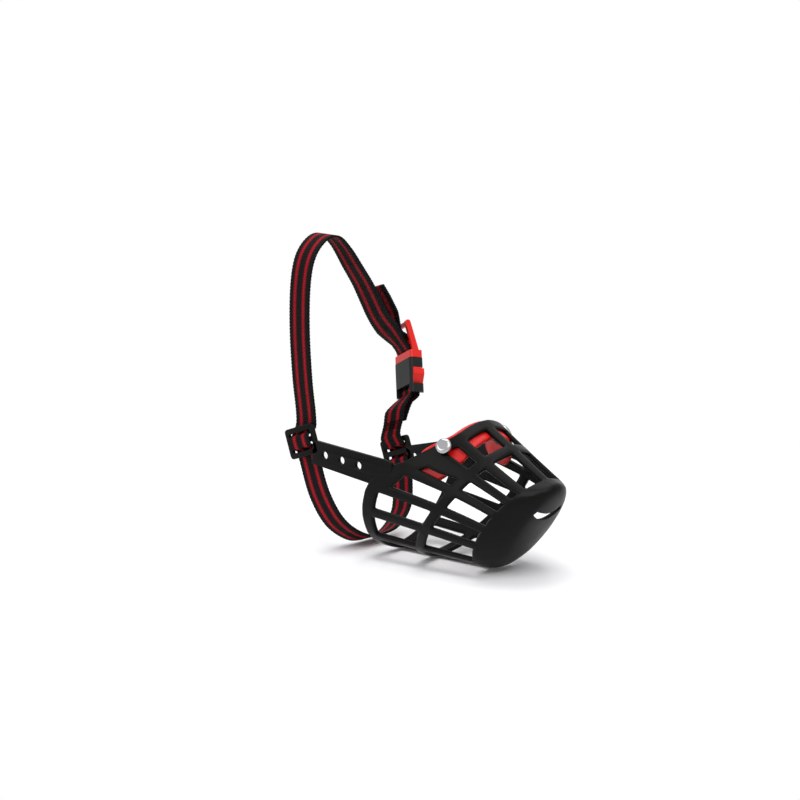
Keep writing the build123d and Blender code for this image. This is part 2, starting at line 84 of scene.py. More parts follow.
def add_node(tree: bpy.types.NodeTree, kind: str, links: dict | None = None, **settings: object) -> bpy.types.Node:
    """Add a node with its settings and the links into it.

    Args:
        tree: the node tree.
        kind: the node's class name.
        links: socket name or number of the new node, to an output socket or a value.
        settings: attributes of the node.

    Returns:
        The new node.
    """
    node = tree.nodes.new(kind)
    for name, value in settings.items():
        setattr(node, name, value)
    for key, source in (links or {}).items():
        socket = node.inputs[key]
        if isinstance(source, bpy.types.NodeSocket):
            tree.links.new(source, socket)
        else:
            socket.default_value = source
    return node


def new_material(name: str) -> tuple[bpy.types.Material, bpy.types.NodeTree, bpy.types.Node]:
    """Empty node material with its shader joined to the output."""
    material = bpy.data.materials.new(name)
    material.use_nodes = True
    tree = material.node_tree
    tree.nodes.clear()
    shader = add_node(tree, "ShaderNodeBsdfPrincipled")
    add_node(tree, "ShaderNodeOutputMaterial", {"Surface": shader.outputs["BSDF"]})
    return material, tree, shader


@dataclass(frozen=True)
class MouldedPlastic:
    """Injection-moulded plastic: even colour, a fine mould grain and slightly uneven gloss."""

    name: str
    colour: str
    worn: str
    roughness: float
    grain_mm: float
    grain_height: float
    ior: float
    shine: float

    def build(self) -> bpy.types.Material:
        """Node material of this plastic."""
        material, tree, shader = new_material(self.name)
        place = add_node(tree, "ShaderNodeTexCoord")
        cloud = add_node(tree, "ShaderNodeTexNoise", {"Vector": place.outputs["Object"], "Scale": 1 / (14 * MM),
                                                      "Detail": 3.0})
        colour = add_node(tree, "ShaderNodeMix", {"Factor": cloud.outputs["Fac"], 6: linear(self.colour),
                                                  7: linear(self.worn)}, data_type="RGBA")
        gloss = add_node(tree, "ShaderNodeMapRange", {"Value": cloud.outputs["Fac"], "From Min": 0.3, "From Max": 0.7,
                                                      "To Min": self.roughness - 0.05, "To Max": self.roughness + 0.06})
        grain = add_node(tree, "ShaderNodeTexNoise", {"Vector": place.outputs["Object"],
                                                      "Scale": 1 / (self.grain_mm * MM), "Detail": 2.0})
        bump = add_node(tree, "ShaderNodeBump", {"Height": grain.outputs["Fac"], "Strength": self.grain_height,
                                                 "Distance": 0.0001})
        tree.links.new(colour.outputs[2], shader.inputs["Base Color"])
        tree.links.new(gloss.outputs["Result"], shader.inputs["Roughness"])
        tree.links.new(bump.outputs["Normal"], shader.inputs["Normal"])
        shader.inputs["IOR"].default_value = self.ior
        shader.inputs["Specular IOR Level"].default_value = self.shine
        return material


@dataclass(frozen=True)
class PlatedSteel:
    """Chrome-plated pressed steel: bright mirror with faint handling marks."""

    name: str
    colour: str
    roughness: float

    def build(self) -> bpy.types.Material:
        """Node material of the plating."""
        material, tree, shader = new_material(self.name)
        place = add_node(tree, "ShaderNodeTexCoord")
        marks = add_node(tree, "ShaderNodeTexNoise", {"Vector": place.outputs["Object"], "Scale": 1 / (2.5 * MM),
                                                      "Detail": 4.0})
        gloss = add_node(tree, "ShaderNodeMapRange", {"Value": marks.outputs["Fac"], "From Min": 0.35, "From Max": 0.7,
                                                      "To Min": self.roughness, "To Max": self.roughness + 0.08})
        tree.links.new(gloss.outputs["Result"], shader.inputs["Roughness"])
        shader.inputs["Base Color"].default_value = linear(self.colour)
        shader.inputs["Metallic"].default_value = 1.0
        return material


@dataclass(frozen=True)
class WovenWebbing:
    """Flat woven polypropylene webbing: black ground with two red warp stripes and ribs across.

    The piece's UV map holds real lengths in millimetres: U across from the middle, V along.
    """

    name: str
    ground: str
    ground_lit: str
    stripe: str
    stripe_dark: str
    stripe_from_mm: float
    stripe_to_mm: float
    pick_mm: float

    def build(self) -> bpy.types.Material:
        """Node material of the webbing."""
        material, tree, shader = new_material(self.name)
        place = add_node(tree, "ShaderNodeUVMap", uv_map="weave")
        parts = add_node(tree, "ShaderNodeSeparateXYZ", {0: place.outputs["UV"]})
        across, along = parts.outputs["X"], parts.outputs["Y"]

        def sine(source: bpy.types.NodeSocket, period: float, phase: float = 0.0) -> bpy.types.NodeSocket:
            """Wave from 0 to 1 of one period in millimetres."""
            turn = add_node(tree, "ShaderNodeMath", {0: source, 1: 2 * math.pi / period, 2: phase},
                            operation="MULTIPLY_ADD")
            wave = add_node(tree, "ShaderNodeMath", {0: turn.outputs[0]}, operation="SINE")
            half = add_node(tree, "ShaderNodeMath", {0: wave.outputs[0], 1: 0.5, 2: 0.5}, operation="MULTIPLY_ADD")
            return half.outputs[0]

        side = add_node(tree, "ShaderNodeMath", {0: across}, operation="ABSOLUTE")
        middle = 0.5 * (self.stripe_from_mm + self.stripe_to_mm)
        half_width = 0.5 * (self.stripe_to_mm - self.stripe_from_mm)
        off = add_node(tree, "ShaderNodeMath", {0: side.outputs[0], 1: middle}, operation="SUBTRACT")
        off_abs = add_node(tree, "ShaderNodeMath", {0: off.outputs[0]}, operation="ABSOLUTE")
        picks = sine(along, self.pick_mm)
        ragged = add_node(tree, "ShaderNodeMath", {0: picks, 1: 0.5, 2: off_abs.outputs[0]}, operation="MULTIPLY_ADD")
        mask = add_node(tree, "ShaderNodeMapRange", {"Value": ragged.outputs[0], "From Min": half_width + 0.1,
                                                     "From Max": half_width + 0.55, "To Min": 1.0, "To Max": 0.0})
        core = add_node(tree, "ShaderNodeMapRange", {"Value": off_abs.outputs[0], "From Min": 0.0,
                                                     "From Max": half_width, "To Min": 1.0, "To Max": 0.0})
        yarns = sine(across, 1.1)
        diagonal = add_node(tree, "ShaderNodeMath", {0: across, 1: 1.6, 2: along}, operation="MULTIPLY_ADD")
        twill = sine(diagonal.outputs[0], self.pick_mm * 2)
        relief = add_node(tree, "ShaderNodeMath", {0: picks, 1: twill}, operation="MULTIPLY")
        relief_two = add_node(tree, "ShaderNodeMath", {0: yarns, 1: 0.35, 2: relief.outputs[0]},
                              operation="MULTIPLY_ADD")
        red = add_node(tree, "ShaderNodeMix", {"Factor": core.outputs["Result"], 6: linear(self.stripe_dark),
                                               7: linear(self.stripe)}, data_type="RGBA")
        black = add_node(tree, "ShaderNodeMix", {"Factor": relief_two.outputs[0], 6: linear(self.ground),
                                                 7: linear(self.ground_lit)}, data_type="RGBA")
        shaded_red = add_node(tree, "ShaderNodeMix", {"Factor": 0.35, 6: red.outputs[2], 7: black.outputs[2]},
                              data_type="RGBA")
        tree.links.new(relief.outputs[0], shaded_red.inputs["Factor"])
        dim = add_node(tree, "ShaderNodeMapRange", {"Value": relief.outputs[0], "From Min": 0.0, "From Max": 1.0,
                                                    "To Min": 0.32, "To Max": 0.0})
        tree.links.new(dim.outputs["Result"], shaded_red.inputs["Factor"])
        cloth = add_node(tree, "ShaderNodeMix", {"Factor": mask.outputs["Result"], 6: black.outputs[2],
                                                 7: shaded_red.outputs[2]}, data_type="RGBA")
        bump = add_node(tree, "ShaderNodeBump", {"Height": relief_two.outputs[0], "Strength": 1.0,
                                                 "Distance": 0.0004})
        tree.links.new(cloth.outputs[2], shader.inputs["Base Color"])
        tree.links.new(bump.outputs["Normal"], shader.inputs["Normal"])
        shader.inputs["Roughness"].default_value = 0.66
        shader.inputs["Specular IOR Level"].default_value = 0.06
        return material


BASKET_PLASTIC = MouldedPlastic("polypropylene, moulded black", "#0a0a09", "#10100f", 0.33, 0.5, 0.10, 1.49, 0.08)
PAD_RUBBER = MouldedPlastic("silicone rubber, moulded red", "#c00d0c", "#cf150e", 0.42, 0.7, 0.12, 1.43, 0.4)
BUCKLE_RED = MouldedPlastic("acetal, moulded red", "#cf130a", "#dc1d0d", 0.32, 0.6, 0.06, 1.48, 0.35)
BUCKLE_DARK = MouldedPlastic("acetal, moulded dark grey", "#191a1a", "#212322", 0.38, 0.6, 0.08, 1.48, 0.12)
RIVET_CHROME = PlatedSteel("steel, chrome plated", "#a9a9ab", 0.07)
WEBBING = WovenWebbing("polypropylene webbing, woven", "#060606", "#1a191c", "#b81c2a", "#6a0b14", 2.7, 6.3, 1.6)
THREAD = MouldedPlastic("polyester thread, twisted black", "#070707", "#0d0d0d", 0.7, 0.3, 0.3, 1.5, 0.03)


# ---- mesh helpers -------------------------------------------------------------------------------------
def link_mesh(name: str, mesh: bpy.types.Mesh, material: bpy.types.Material) -> bpy.types.Object:
    """Object of a finished mesh, smooth and with its material."""
    obj = bpy.data.objects.new(name, mesh)
    bpy.context.scene.collection.objects.link(obj)
    mesh.materials.clear()
    mesh.materials.append(material)
    for face in mesh.polygons:
        face.use_smooth = True
        face.material_index = 0
    return obj


def mesh_of(name: str, points: Sequence[Vector], faces: Sequence[Sequence[int]]) -> bpy.types.Mesh:
    """Mesh of points in metres and faces."""
    mesh = bpy.data.meshes.new(name)
    mesh.from_pydata([tuple(p) for p in points], [], [tuple(f) for f in faces])
    mesh.update()
    return mesh


def baked(obj: bpy.types.Object) -> bpy.types.Object:
    """Apply an object's modifiers to its mesh."""
    graph = bpy.context.evaluated_depsgraph_get()
    mesh = bpy.data.meshes.new_from_object(obj.evaluated_get(graph))
    obj.modifiers.clear()
    obj.data = mesh
    return obj


def outward(obj: bpy.types.Object) -> None:
    """Merge doubled points and turn every face outward."""
    work = bmesh.new()
    work.from_mesh(obj.data)
    bmesh.ops.remove_doubles(work, verts=work.verts, dist=1e-6)
    bmesh.ops.recalc_face_normals(work, faces=work.faces)
    work.to_mesh(obj.data)
    work.free()
    obj.data.update()


def catmull(points: Sequence[Vector], step: float) -> list[Vector]:
    """Points about step apart on a smooth line through the given ones."""
    line: list[Vector] = []
    for n in range(len(points) - 1):
        p0, p1, p2 = points[max(n - 1, 0)], points[n], points[n + 1]
        p3 = points[min(n + 2, len(points) - 1)]
        count = max(1, round((p2 - p1).length / step))
        for k in range(count):
            t = k / count
            line.append(0.5 * (2 * p1 + (p2 - p0) * t + (2 * p0 - 5 * p1 + 4 * p2 - p3) * t * t
                               + (3 * p1 - p0 - 3 * p2 + p3) * t ** 3))
    return line + [points[-1].copy()]


# ---- basket -------------------------------------------------------------------------------------------
@dataclass(frozen=True)
class Ring:
    """One leaning elliptical ring of the basket, in millimetres."""

    y_mid: float
    half_width: float
    half_height: float
    z_mid: float
    lean: float

    def point(self, degrees: float, shrink: float = 1.0) -> Vector:
        """Point of the ring at an angle from the +X side, in millimetres."""
        t = math.radians(degrees)
        z = self.z_mid + self.half_height * shrink * math.sin(t)
        return Vector((self.half_width * shrink * math.cos(t), self.y_mid + self.lean * (z - self.z_mid), z))


@dataclass
class Basket:
    """The moulded basket: nose cup, cross rib, rear rim and the long bars between them."""

    nose_rings: tuple[Ring, ...] = (
        Ring(-56.0, 33.5, 34.2, 35.8, -0.70), Ring(-59.5, 28.5, 33.4, 36.2, -0.71),
        Ring(-63.0, 24.0, 31.4, 36.4, -0.72), Ring(-65.6, 20.0, 28.4, 36.4, -0.73))
    cup: Ring = Ring(-53.0, 40.0, 34.3, 35.6, -0.70)
    rib: Ring = Ring(-11.0, 44.7, 43.8, 45.0, -0.78)
    rear: Ring = Ring(22.0, 47.8, 51.5, 53.5, -0.80)
    wall: float = 3.3
    bar_width: float = 7.2
    rib_width: float = 8.0
    bar_degrees: tuple[float, ...] = (90.0, 58.0, 41.0, 23.0, 4.0, -19.0, -48.0, -90.0)
    rim_widths: tuple[float, ...] = (9.0, 9.0, 14.0, 17.0, 9.5, 9.0, 9.0)
    strip_low: float = 26.0
    strip_drop: float = 8.5
    slot_radius: float = 20.0
    slot_span: float = 84.0
    slot_width: float = 4.5
    slot_low: float = 43.0
    # rear edge seen from the side, from the bottom to the top of the arch: Y, Z
    rear_edge: tuple[tuple[float, float], ...] = (
        (62.0, 0.0), (61.0, 16.0), (56.0, 38.0), (49.0, 58.0), (36.0, 71.0), (24.0, 74.0), (4.0, 86.0),
        (-14.0, 97.0), (-18.0, 106.0))

    def rear_y(self, z: float) -> float:
        """Y of the rear edge at a height."""
        edge = self.rear_edge
        if z <= edge[0][1]:
            return edge[0][0]
        for (y0, z0), (y1, z1) in zip(edge, edge[1:]):
            if z <= z1:
                return y0 + (y1 - y0) * (z - z0) / (z1 - z0)
        return edge[-1][0]

    def strip_shift(self, degrees: float, along: float) -> float:
        """Angle of a cage line, moved down behind the rib where the rivet strip is wide."""
        folded = degrees if degrees >= -90.0 else -180.0 - degrees
        if along <= 1.0 or not self.strip_low < folded < 40.0:
            return degrees
        share = min(1.0, (along - 1.0) / 0.25) * (folded - self.strip_low) / (40.0 - self.strip_low)
        shift = self.strip_drop * share
        return degrees - shift if degrees >= -90.0 else degrees + shift

    def surface(self, degrees: float, along: float) -> Vector:
        """Point on the outside: along is -1 at the nose, 0 at the cup's border, 1 at the rib, 2 at the rear edge."""
        if along <= 0:
            rings = (self.cup,) + self.nose_rings
            place = min(-along, 1.0) * (len(rings) - 1)
            n = min(int(place), len(rings) - 2)
            return rings[n].point(degrees).lerp(rings[n + 1].point(degrees), place - n)
        p0, p1, p2 = self.cup.point(degrees), self.rib.point(degrees), self.rear.point(degrees)
        p2.y = self.rear_y(p2.z)
        t = along
        return p0 * ((t - 1) * (t - 2) / 2) + p1 * (t * (2 - t)) + p2 * (t * (t - 1) / 2)

    def columns(self) -> list[tuple[float, str]]:
        """Angles of the cage's long lines, each with what lies after it: bar or window number."""
        order = list(self.bar_degrees) + [-180.0 - d for d in self.bar_degrees[-2:0:-1]]
        lines: list[tuple[float, str]] = []
        count = len(order)
        for n, angle in enumerate(order):
            following = order[(n + 1) % count] - (360.0 if n == count - 1 else 0.0)
            window = n if n < 7 else 13 - n
            half = self.half_angle(angle)
            half_next = self.half_angle(following)
            lines.append((angle + half, "bar"))
            start, stop = angle - half, following + half_next
            span = start - stop
            corner = min(2.0 / 45.0 * 57.3, span * 0.3)
            lines.append((start, f"window {window}"))
            lines.append((start - corner, f"window {window}"))
            lines.append((0.5 * (start + stop), f"window {window}"))
            lines.append((stop + corner, f"window {window}"))
        return lines

    def half_angle(self, degrees: float) -> float:
        """Half the angle that a bar spans at the rib."""
        step = (self.rib.point(degrees + 1.0) - self.rib.point(degrees - 1.0)).length / 2.0
        return 0.5 * self.bar_width / step

    def rows(self, degrees: float, window: int) -> list[float]:
        """Places of the cage's rings along the basket at one angle."""
        front = (self.surface(degrees, 1) - self.surface(degrees, 0)).length
        back = (self.surface(degrees, 2) - self.surface(degrees, 1)).length
        half = 0.5 * self.rib_width
        rim = self.rim_widths[window]
        corner = 2.4
        return ([-1.0, -0.75, -0.5, -0.25, 3.0 / front, (3.0 + corner) / front, 0.5,
                 1 - (half + corner) / front, 1 - half / front,
                 1 + half / back, 1 + (half + corner) / back, 1.5, 2 - (rim + corner) / back,
                 2 - rim / back, 2 - 0.35 * rim / back, 2.0])

    def window_rows(self) -> set[int]:
        """Numbers of the rows that are open in a window column."""
        return {4, 5, 6, 7, 9, 10, 11, 12}

    def build(self, material: bpy.types.Material) -> bpy.types.Object:
        """Mesh of the basket's shell with its windows."""
        lines = self.columns()
        count = len(lines)
        grid: list[list[int]] = []
        points: list[Vector] = []
        open_rows = self.window_rows()
        for angle, kind in lines:
            window = int(kind.split()[-1]) if kind != "bar" else self.near_window(angle)
            here: list[int] = []
            for along in self.rows(angle, window):
                here.append(len(points))
                points.append(self.surface(self.strip_shift(angle, along), along) * MM)
            grid.append(here)
        faces: list[tuple[int, ...]] = []
        for n in range(count):
            following = grid[(n + 1) % count]
            for row in range(len(grid[n]) - 1):
                if lines[n][1] != "bar" and row in open_rows:
                    continue
                faces.append((grid[n][row], grid[n][row + 1], following[row + 1], following[row]))
        faces += self.face_cap(points, [line[0] for line in grid], [a for a, _ in lines])
        mesh = mesh_of("basket", points, faces)
        obj = link_mesh("basket_moulding", mesh, material)
        outward(obj)
        solid = obj.modifiers.new("wall", "SOLIDIFY")
        solid.thickness = self.wall * MM
        solid.offset = -1.0
        solid.use_even_offset = True
        solid.edge_crease_rim = 0.0
        solid.edge_crease_inner = 0.5
        solid.edge_crease_outer = 0.35
        smooth = obj.modifiers.new("rounding", "SUBSURF")
        smooth.levels = 2
        smooth.render_levels = 2
        self.cut_slot(baked(obj))
        return obj

    def cut_slot(self, obj: bpy.types.Object) -> None:
        """Cut the curved nostril slot through the front face."""
        steps = 14
        centre = self.slot_low + self.slot_width / 2 + self.slot_radius
        outline: list[tuple[float, float]] = []
        for radius, turns in ((self.slot_radius + self.slot_width / 2, range(steps + 1)),
                              (self.slot_radius - self.slot_width / 2, range(steps, -1, -1))):
            for k in turns:
                t = math.radians(-90.0 - self.slot_span / 2 + self.slot_span * k / steps)
                outline.append((radius * math.cos(t), centre + radius * math.sin(t)))
        place = Matrix(((1, 0, 0, 0), (0, 0, -1, self.nose_rings[-1].y_mid - 3.0), (0, 1, 0, 0), (0, 0, 0, 1)))
        cutter = plate("slot_cutter", [outline], 34.0, 0.0, place, obj.data.materials[0])
        cut = obj.modifiers.new("slot", "BOOLEAN")
        cut.operation = "DIFFERENCE"
        cut.solver = "EXACT"
        cut.object = cutter
        baked(obj)
        bpy.data.objects.remove(cutter)

    def near_window(self, angle: float) -> int:
        """Window number beside a bar's first line, for its rim width."""
        folded = angle if angle >= -90.0 else -180.0 - angle
        for n in range(len(self.bar_degrees) - 1):
            if folded >= self.bar_degrees[n + 1]:
                return n
        return len(self.bar_degrees) - 2

    def face_cap(self, points: list[Vector], edge: list[int], angles: list[float]) -> list[tuple[int, ...]]:
        """Slanted front face of the nose cup, in rings towards its middle."""
        faces: list[tuple[int, ...]] = []
        rings = [edge]
        front = self.nose_rings[-1]
        forward = Vector((0, -1.0, front.lean)).normalized()
        for shrink, push in ((0.85, 1.3), (0.55, 2.2), (0.25, 2.6)):
            here: list[int] = []
            for angle in angles:
                here.append(len(points))
                points.append((front.point(angle, shrink) + forward * push) * MM)
            rings.append(here)
        middle = len(points)
        points.append((front.point(0, 0.0) + forward * 2.7) * MM)
        count = len(edge)
        for outer, inner in zip(rings, rings[1:]):
            for n in range(count):
                m = (n + 1) % count
                faces.append((outer[m], inner[m], inner[n], outer[n]))
        last = rings[-1]
        for n in range(0, count, 2):
            faces.append((last[(n + 2) % count], middle, last[n], last[(n + 1) % count]))
        return faces


# ---- flat mouldings: side arms ------------------------------------------------------------------------
def rounded_polygon(corners: Sequence[tuple[float, float]], radii: Sequence[float], steps: int = 5
                    ) -> list[tuple[float, float]]:
    """Outline with rounded corners.

    Args:
        corners: the sharp corners in order.
        radii: one radius for each corner.
        steps: straight pieces in a rounded corner.

    Returns:
        Points of the outline.
    """
    line: list[tuple[float, float]] = []
    count = len(corners)
    for n, (corner, radius) in enumerate(zip(corners, radii)):
        here = Vector(corner)
        into = (Vector(corners[n - 1]) - here).normalized()
        out = (Vector(corners[(n + 1) % count]) - here).normalized()
        half = 0.5 * into.angle(out)
        reach = radius / math.tan(half)
        start, stop = here + into * reach, here + out * reach
        for k in range(steps + 1):
            t = k / steps
            p = start * (1 - t) ** 2 + here * 2 * t * (1 - t) + stop * t * t
            line.append((p.x, p.y))
    return line


def circle(x: float, y: float, radius: float, steps: int = 24) -> list[tuple[float, float]]:
    """Points of a circle."""
    return [(x + radius * math.cos(2 * math.pi * k / steps), y + radius * math.sin(2 * math.pi * k / steps))
            for k in range(steps)]


def plate(name: str, outlines: Sequence[Sequence[tuple[float, float]]], thickness: float, edge: float,
          place: Matrix, material: bpy.types.Material) -> bpy.types.Object:
    """Flat moulding with rounded edges and holes.

    Args:
        name: the piece's name.
        outlines: the outer outline, then each hole, in millimetres.
        thickness: of the plate, in millimetres.
        edge: radius of its edges, in millimetres.
        place: where the plate's own X and Y lie, in millimetres.
        material: its finish.

    Returns:
        The finished object.
    """
    curve = bpy.data.curves.new(name, "CURVE")
    curve.dimensions = "2D"
    curve.fill_mode = "BOTH"
    for n, outline in enumerate(outlines):
        spline = curve.splines.new("POLY")
        spline.points.add(len(outline) - 1)
        for point, (x, y) in zip(spline.points, outline):
            point.co = (x, y, 0.0, 1.0)
        spline.use_cyclic_u = True
    curve.extrude = thickness / 2 - edge
    curve.bevel_depth = edge
    curve.bevel_resolution = 3
    curve.offset = -edge
    holder = bpy.data.objects.new(name, curve)
    bpy.context.scene.collection.objects.link(holder)
    graph = bpy.context.evaluated_depsgraph_get()
    mesh = bpy.data.meshes.new_from_object(holder.evaluated_get(graph))
    bpy.data.objects.remove(holder)
    mesh.transform(Matrix.Scale(MM, 4) @ place)
    obj = link_mesh(name, mesh, material)
    outward(obj)
    return obj


@dataclass
class SideArm:
    """One flexible side arm with its holes and its tab with two slots."""

    side: Side
    tab_y: float
    tab_z: float
    x_mid: float = 47.0
    thickness: float = 3.0
    width: float = 17.5
    root_y: float = 40.0
    root_z: float = 68.0
    hole_radius: float = 2.8
    hole_pitch: float = 16.3
    hole_first: float = 16.5
    tab_length: float = 28.5
    tab_height: float = 22.0
    tab_tilt: float = 19.5
    slot_height: float = 5.0
    slot_length: float = 21.6
    bar: float = 4.0
    pull_from: float = 50.0
    pull_most: float = 3.2

    def build(self, material: bpy.types.Material) -> list[bpy.types.Object]:
        """Arm and tab as two flat mouldings that run into each other."""
        run = Vector((self.tab_y - self.root_y, self.tab_z - 5.0 - self.root_z))
        length, angle = run.length, math.atan2(run.y, run.x)
        flat = Matrix(((0, 0, 1, 0), (1, 0, 0, 0), (0, 1, 0, 0), (0, 0, 0, 1)))
        place = (Matrix.Translation((self.side.value * self.x_mid, self.root_y, self.root_z)) @ flat
                 @ Matrix.Rotation(angle, 4, "Z"))
        half = self.width / 2
        back = length - 11.0
        corners = [(-12.0, -half - 3.0), (back, -half), (back, half), (-12.0, half)]
        holes = [circle(self.hole_first + k * self.hole_pitch, 0.0, self.hole_radius) for k in range(3)]
        name = self.side.name.lower()
        arm = plate(f"arm_{name}", [rounded_polygon(corners, (6.0, 1.0, 1.0, 4.0))] + holes, self.thickness, 0.5,
                    place, material)
        for vertex in arm.data.vertices:
            ahead = max(0.0, self.pull_from - vertex.co.y / MM)
            vertex.co.x -= self.side.value * min(self.pull_most, 0.008 * ahead * ahead) * MM
        tilt = -math.radians(self.tab_tilt)
        tab_place = (Matrix.Translation((self.side.value * self.x_mid, self.tab_y, self.tab_z)) @ flat
                     @ Matrix.Rotation(tilt, 4, "Z"))
        a, b = self.tab_length / 2, self.tab_height / 2
        outline = rounded_polygon([(-a, -b), (a, -b), (a, b), (-a, b)], (3.0,) * 4)
        slots = []
        for sign in (-1, 1):
            y0 = sign * (self.bar / 2 + self.slot_height / 2)
            c, d = self.slot_length / 2, self.slot_height / 2
            slots.append(rounded_polygon([(-c, y0 - d), (c, y0 - d), (c, y0 + d), (-c, y0 + d)], (0.8,) * 4, 3))
        tab = plate(f"tab_{name}", [outline] + slots, self.thickness, 0.5, tab_place, material)
        return [arm, tab]


# ---- nose pad -----------------------------------------------------------------------------------------
@dataclass
class NosePad:
    """Soft saddle-shaped pad inside the arch."""

    basket: Basket
    low_degrees: float = 24.0
    thickness: float = 4.2
    gap: float = 0.7
    roll: float = 2.6
    # front and rear edges seen from the side, from the bottom up: Z, Y
    front_edge: tuple[tuple[float, float], ...] = (
        (66.0, -3.0), (68.0, -9.0), (75.0, -17.0), (85.0, -24.0), (98.0, -28.0), (130.0, -28.5))
    rear_edge: tuple[tuple[float, float], ...] = (
        (66.0, 2.0), (71.0, 5.0), (79.0, 8.0), (87.0, 5.5), (98.5, -12.5), (106.0, -16.0), (130.0, -16.0))

    def edge_y(self, edge: Sequence[tuple[float, float]], z: float) -> float:
        """Y of an edge at a height."""
        if z <= edge[0][0]:
            return edge[0][1]
        for (z0, y0), (z1, y1) in zip(edge, edge[1:]):
            if z <= z1:
                return y0 + (y1 - y0) * (z - z0) / (z1 - z0)
        return edge[-1][1]

    def reach(self, degrees: float, edge: Sequence[tuple[float, float]]) -> float:
        """Place along the basket where its surface meets an edge at one angle."""
        low, high = 0.3, 2.6
        for _ in range(30):
            middle = 0.5 * (low + high)
            p = self.basket.surface(degrees, middle)
            if p.y < self.edge_y(edge, p.z):
                low = middle
            else:
                high = middle
        return 0.5 * (low + high)

    def build(self, material: bpy.types.Material) -> bpy.types.Object:
        """Crowned band that follows the inside of the basket's arch."""
        rows = 6
        columns = 36
        points: list[Vector] = []
        for k in range(columns + 1):
            angle = self.low_degrees + (180.0 - 2 * self.low_degrees) * k / columns
            front, back = self.reach(angle, self.front_edge), self.reach(angle, self.rear_edge)
            for m in range(rows + 1):
                p = self.basket.surface(angle, front + (back - front) * m / rows)
                inward = (Vector((0, p.y, 48.0)) - p).normalized()
                p += inward * (self.basket.wall + self.gap)
                if m == rows:
                    p += Vector((0, self.roll, 0)) - inward * self.roll
                points.append(p * MM)
        faces = []
        for k in range(columns):
            for m in range(rows):
                a = k * (rows + 1) + m
                faces.append((a, a + 1, a + rows + 2, a + rows + 1))
        obj = link_mesh("pad", mesh_of("pad", points, faces), material)
        if sum(face.normal.z for face in obj.data.polygons) < 0:
            obj.data.flip_normals()
        solid = obj.modifiers.new("foam", "SOLIDIFY")
        solid.thickness = self.thickness * MM
        solid.offset = -1.0
        solid.use_even_offset = True
        smooth = obj.modifiers.new("crown", "SUBSURF")
        smooth.levels = 2
        smooth.render_levels = 2
        return baked(obj)


# ---- webbing ------------------------------------------------------------------------------------------
@dataclass
class Webbing:
    """A run of flat webbing: points of its middle line with the direction of its width at each."""

    name: str
    width: float = 20.0
    thickness: float = 1.5
    step: float = 0.8
    scallop: float = 0.22
    pick: float = 1.25

    def build(self, line: Sequence[tuple[Vector, Vector]], material: bpy.types.Material,
              start_mm: float = 0.0) -> bpy.types.Object:
        """Strap mesh with real lengths in its UV map.

        Args:
            line: middle points and width directions, in millimetres.
            material: the webbing.
            start_mm: length along the strap at the first point.

        Returns:
            The finished strap.
        """
        across = 10
        points: list[Vector] = []
        lengths: list[float] = []
        length = start_mm
        for n, (p, w) in enumerate(line):
            if n:
                length += (p - line[n - 1][0]).length
            lengths.append(length)
            edge = self.width / 2 + self.scallop * math.sin(2 * math.pi * length / (2 * self.pick))
            for m in range(across + 1):
                s = 2 * m / across - 1
                points.append((p + w.normalized() * (edge * s)) * MM)
        faces = []
        for n in range(len(line) - 1):
            for m in range(across):
                a = n * (across + 1) + m
                faces.append((a, a + 1, a + across + 2, a + across + 1))
        mesh = mesh_of(self.name, points, faces)
        layer = mesh.uv_layers.new(name="weave")
        for face in mesh.polygons:
            for loop in face.loop_indices:
                index = mesh.loops[loop].vertex_index
                n, m = divmod(index, across + 1)
                layer.data[loop].uv = ((2 * m / across - 1) * self.width / 2, lengths[n])
        obj = link_mesh(self.name, mesh, material)
        solid = obj.modifiers.new("cloth", "SOLIDIFY")
        solid.thickness = self.thickness * MM
        solid.offset = 0.0
        bevel = obj.modifiers.new("edges", "BEVEL")
        bevel.width = 0.35 * MM
        bevel.segments = 2
        bevel.limit_method = "ANGLE"
        bevel.angle_limit = math.radians(50)
        return baked(obj)


def blend_line(points: Sequence[tuple[Vector, Vector]], step: float) -> list[tuple[Vector, Vector]]:
    """Smooth line through points, with the width directions smoothed alike."""
    middle = catmull([p for p, _ in points], step)
    widths: list[Vector] = []
    for n in range(len(points) - 1):
        count = max(1, round((points[n + 1][0] - points[n][0]).length / step))
        for k in range(count):
            widths.append(points[n][1].lerp(points[n + 1][1], k / count).normalized())
    widths.append(points[-1][1].normalized())
    return list(zip(middle, widths))


